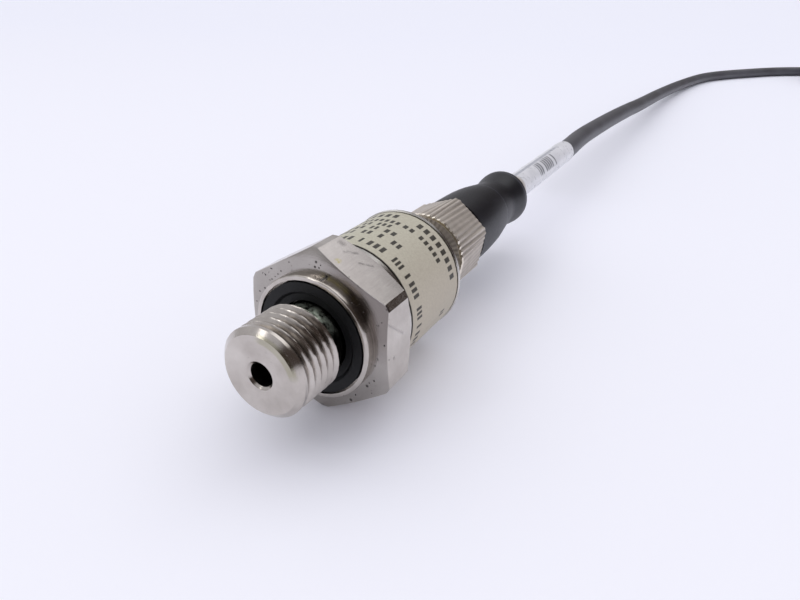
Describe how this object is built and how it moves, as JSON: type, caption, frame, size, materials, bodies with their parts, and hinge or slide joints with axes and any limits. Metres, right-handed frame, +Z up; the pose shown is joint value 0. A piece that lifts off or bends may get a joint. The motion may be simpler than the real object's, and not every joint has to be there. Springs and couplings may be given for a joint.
{
  "type": "pressure sensor",
  "caption": "Stainless pressure sensor with a G 1/4 port, hexagon and round labelled housing, with a screwed-on M12 cable plug and its cable.",
  "frame": {"origin": "on the surface that the hexagon's lower corner rests on, below the common axis, halfway between the thread's front end and the back of the cable grip", "axes": "+Y runs along the common axis from the threaded port towards the cable, +Z up, +X towards the side the cable bends to"},
  "size_m": [0.1628, 0.5093, 0.0257],
  "materials": {
    "stainless_steel": "turned, satin",
    "nickel_plate": "satin nickel",
    "gold_plate": "satin",
    "black_rubber": "matte",
    "white_ceramic": "matte",
    "label_film": "fine-grained film",
    "black_plastic": "moulded",
    "circuit_board": "satin",
    "component_body": "moulded",
    "grip_moulding": "moulded, fine texture",
    "cable_jacket": "satin jacket",
    "cable_label_film": "glossy film",
    "core_brown": "insulation",
    "core_white": "insulation",
    "core_blue": "insulation",
    "core_black": "insulation"
  },
  "bodies": {
    "sensor": {"pressure_port": "stainless_steel", "port_seal": "black_rubber", "cell_ring": "black_rubber", "diaphragm": "white_ceramic", "ceramic_cell": "white_ceramic", "cell_retainer": "stainless_steel", "cell_pin_1": "gold_plate", "cell_pin_2": "gold_plate", "cell_pin_3": "gold_plate", "cell_pin_4": "gold_plate", "housing_tube": "stainless_steel", "type_label": "label_film", "board_holder": "black_plastic", "cell_board": "circuit_board", "plug_board": "circuit_board", "board_spacer": "black_plastic", "signal_chip": "component_body", "supply_regulator": "component_body", "board_link": "component_body", "plug_shell": "nickel_plate", "plug_ring": "black_rubber", "pin_carrier": "black_plastic", "contact_pin_1": "gold_plate", "contact_pin_2": "gold_plate", "contact_pin_3": "gold_plate", "contact_pin_4": "gold_plate"},
    "cordset": {"socket_carrier": "black_plastic", "socket_contact_1": "gold_plate", "socket_contact_2": "gold_plate", "socket_contact_3": "gold_plate", "socket_contact_4": "gold_plate", "face_seal": "black_rubber", "grip_body": "grip_moulding", "cable": "cable_jacket", "cable_label": "cable_label_film", "cable_coil": "cable_jacket", "cable_tail": "cable_jacket", "core_brown": "core_brown", "core_white": "core_white", "core_blue": "core_blue", "core_black": "core_black"},
    "coupling_nut": {"coupling_nut": "nickel_plate"}
  },
  "joints": [
    {"name": "cordset_slide", "type": "slide", "parent": "sensor", "child": "cordset", "axis": [0, 1, 0], "range_m": [0, 0.005]},
    {"name": "nut_turn", "type": "hinge", "parent": "cordset", "child": "coupling_nut", "pos_m": [0, 0.0081, 0.01284], "axis": [0, 1, 0], "range_deg": [0, 1800]}
  ],
  "couplings": [
    {"joint": "nut_turn", "follows": "cordset_slide", "rad_per_m": 6283.2}
  ]
}
